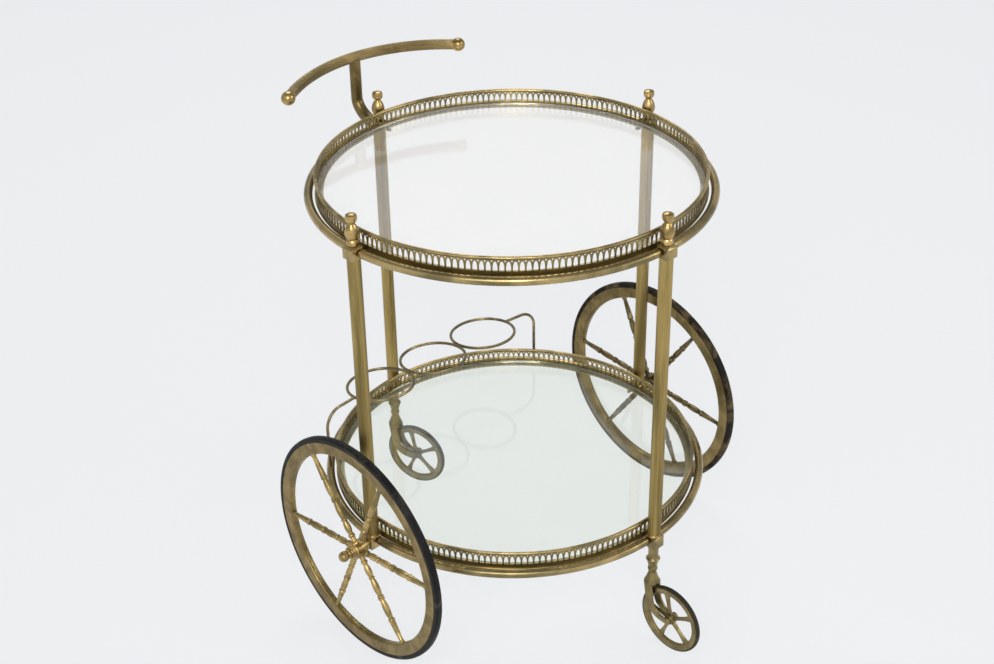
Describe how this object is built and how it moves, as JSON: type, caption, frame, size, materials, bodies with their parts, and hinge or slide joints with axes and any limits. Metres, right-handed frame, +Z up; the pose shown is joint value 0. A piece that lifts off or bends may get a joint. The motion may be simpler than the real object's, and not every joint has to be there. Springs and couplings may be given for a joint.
{
  "type": "bar cart",
  "caption": "Round tiered bar cart in aged brass with gallery-edged glass trays, bottle rings, bowed push handle, large spoked side wheels and swivel casters.",
  "frame": {"origin": "on the floor, at the middle of the overall length and width", "axes": "+Z up, +Y toward the push handle, X along the axle line of the large wheels"},
  "size_m": [0.6316, 0.6564, 0.6816],
  "materials": {
    "aged_brass": "aged, olive brown patina with worn golden edges",
    "handle_brass": "aged, warmer brown, rubbed by hands",
    "tyre": "matt black, dusty",
    "tray_glass": "clear float glass with a slightly green edge"
  },
  "bodies": {
    "frame": {"posts": "aged_brass", "post_collars": "aged_brass", "upper_blocks": "aged_brass", "lower_blocks": "aged_brass", "finials": "aged_brass", "upper_ring": "aged_brass", "lower_ring": "aged_brass", "tray_pins": "aged_brass", "handle_stem": "handle_brass", "handle_bar": "handle_brass", "handle_balls": "handle_brass", "left_bottle_ring": "aged_brass", "middle_bottle_ring": "aged_brass", "right_bottle_ring": "aged_brass", "bottle_arms": "aged_brass", "wheel_axles": "aged_brass", "axle_caps": "aged_brass", "caster_stems": "aged_brass"},
    "upper_tray": {"upper_tray_ring": "aged_brass", "upper_gallery": "aged_brass", "upper_rail": "aged_brass", "upper_glass": "tray_glass"},
    "lower_tray": {"lower_tray_ring": "aged_brass", "lower_gallery": "aged_brass", "lower_rail": "aged_brass", "lower_glass": "tray_glass"},
    "left_wheel": {"left_tyre": "tyre", "left_rim": "aged_brass", "left_spokes": "aged_brass", "left_hub": "aged_brass"},
    "right_wheel": {"right_tyre": "tyre", "right_rim": "aged_brass", "right_spokes": "aged_brass", "right_hub": "aged_brass"},
    "front_swivel": {"front_fork": "aged_brass", "front_caster_axle": "aged_brass"},
    "front_caster": {"front_caster_wheel": "aged_brass", "front_caster_tyre": "tyre"},
    "back_swivel": {"back_fork": "aged_brass", "back_caster_axle": "aged_brass"},
    "back_caster": {"back_caster_wheel": "aged_brass", "back_caster_tyre": "tyre"}
  },
  "joints": [
    {"name": "left_wheel_spin", "type": "hinge", "parent": "frame", "child": "left_wheel", "pos_m": [-0.2852, 0.01551, 0.1595], "axis": [1, 0, 0], "continuous": true},
    {"name": "right_wheel_spin", "type": "hinge", "parent": "frame", "child": "right_wheel", "pos_m": [0.2852, 0.01551, 0.1595], "axis": [1, 0, 0], "continuous": true},
    {"name": "front_swivel_turn", "type": "hinge", "parent": "frame", "child": "front_swivel", "pos_m": [0, -0.24449, 0.1225], "axis": [0, 0, 1], "continuous": true},
    {"name": "front_caster_spin", "type": "hinge", "parent": "front_swivel", "child": "front_caster", "pos_m": [0, -0.27949, 0.0485], "axis": [1, 0, 0], "continuous": true},
    {"name": "back_swivel_turn", "type": "hinge", "parent": "frame", "child": "back_swivel", "pos_m": [0, 0.27551, 0.1225], "axis": [0, 0, 1], "continuous": true},
    {"name": "back_caster_spin", "type": "hinge", "parent": "back_swivel", "child": "back_caster", "pos_m": [0.01082, 0.24222, 0.0485], "axis": [0.9511, 0.309, 0], "continuous": true},
    {"name": "upper_tray_lift", "type": "slide", "parent": "frame", "child": "upper_tray", "axis": [0, 0, 1], "range_m": [0, 0.12]},
    {"name": "lower_tray_lift", "type": "slide", "parent": "frame", "child": "lower_tray", "axis": [0, 0, 1], "range_m": [0, 0.055]}
  ]
}
